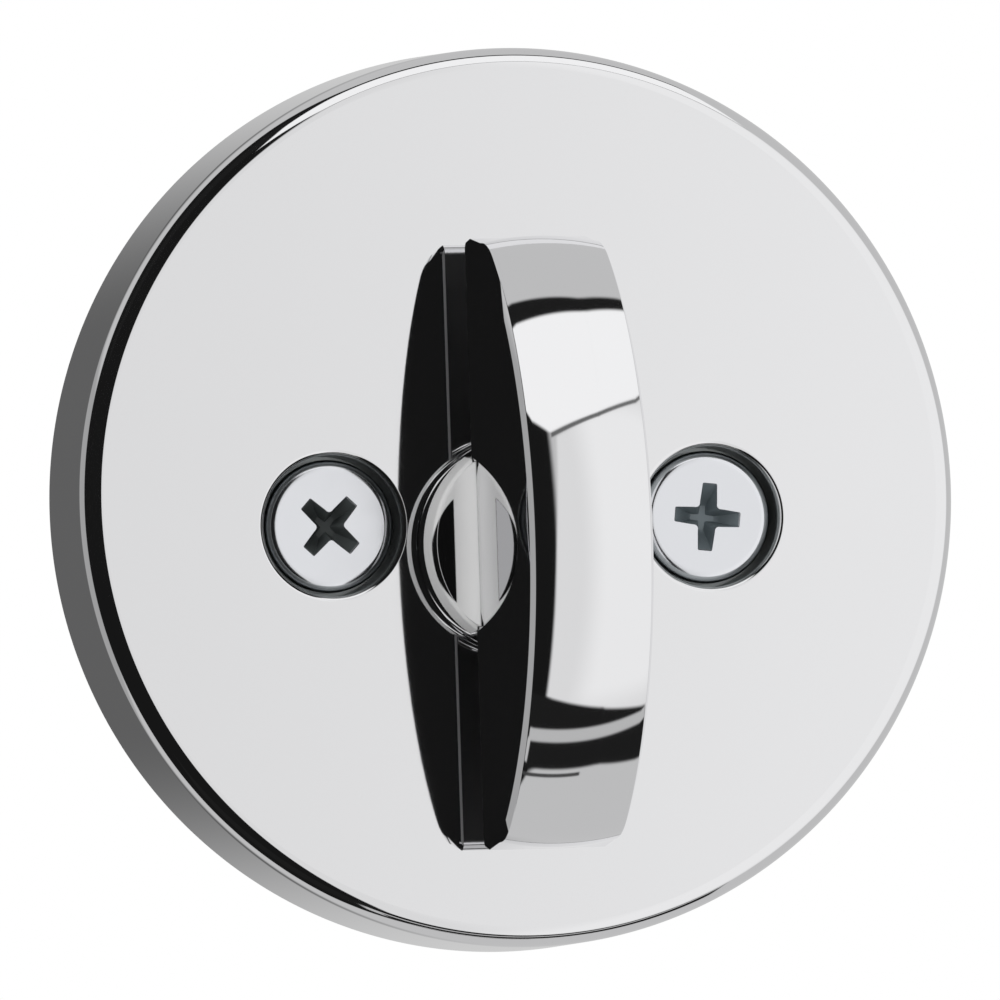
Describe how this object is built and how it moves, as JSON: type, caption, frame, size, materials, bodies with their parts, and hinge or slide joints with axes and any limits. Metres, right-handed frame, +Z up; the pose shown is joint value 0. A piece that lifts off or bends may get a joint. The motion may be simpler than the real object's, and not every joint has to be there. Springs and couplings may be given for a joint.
{
  "type": "deadbolt thumb turn trim",
  "caption": "Round polished rose with a half-moon thumb turn and recessed mounting screws, the inside trim of a deadbolt lock; the turn swings a quarter turn.",
  "frame": {"origin": "where the spindle axis meets the door face, 3.55 mm below the rose's centre", "axes": "+Y into the door along the spindle, +Z up, +X to the right as the user faces the turn"},
  "size_m": [0.0666, 0.0814, 0.0667],
  "materials": {
    "polished_chrome": "mirror-polished chrome plate",
    "chrome_screw": "bright chrome plate, slightly soft",
    "zinc_plated_steel": "clear zinc plate",
    "zinc_screw": "clear zinc plate",
    "cam_steel": "sintered steel",
    "spring_steel": "tempered steel",
    "rivet_steel": "plain steel",
    "white_acetal": "satin moulded",
    "black_nylon": "satin moulded"
  },
  "bodies": {
    "rose_body": {"rose": "polished_chrome", "screw_left": "chrome_screw", "screw_right": "chrome_screw", "backing_plate": "zinc_plated_steel", "plate_screw_top": "zinc_screw", "plate_screw_left": "zinc_screw", "plate_screw_right": "zinc_screw", "hub_bushing": "white_acetal", "detent_spring_upper": "spring_steel", "detent_spring_lower": "spring_steel", "spring_post_1": "rivet_steel", "spring_post_2": "rivet_steel", "spring_post_3": "rivet_steel", "spring_post_4": "rivet_steel", "thrust_washer": "black_nylon", "wave_washer": "spring_steel", "screw_keeper_left": "black_nylon", "screw_keeper_right": "black_nylon"},
    "turn_body": {"thumb_turn": "polished_chrome", "detent_cam": "cam_steel", "retaining_ring": "spring_steel", "torque_blade": "zinc_plated_steel", "blade_pin": "spring_steel"}
  },
  "joints": [
    {"name": "thumb_turn_swing", "type": "hinge", "parent": "rose_body", "child": "turn_body", "pos_m": [0, 0, 0], "axis": [0, 1, 0], "range_deg": [0, 90]}
  ]
}
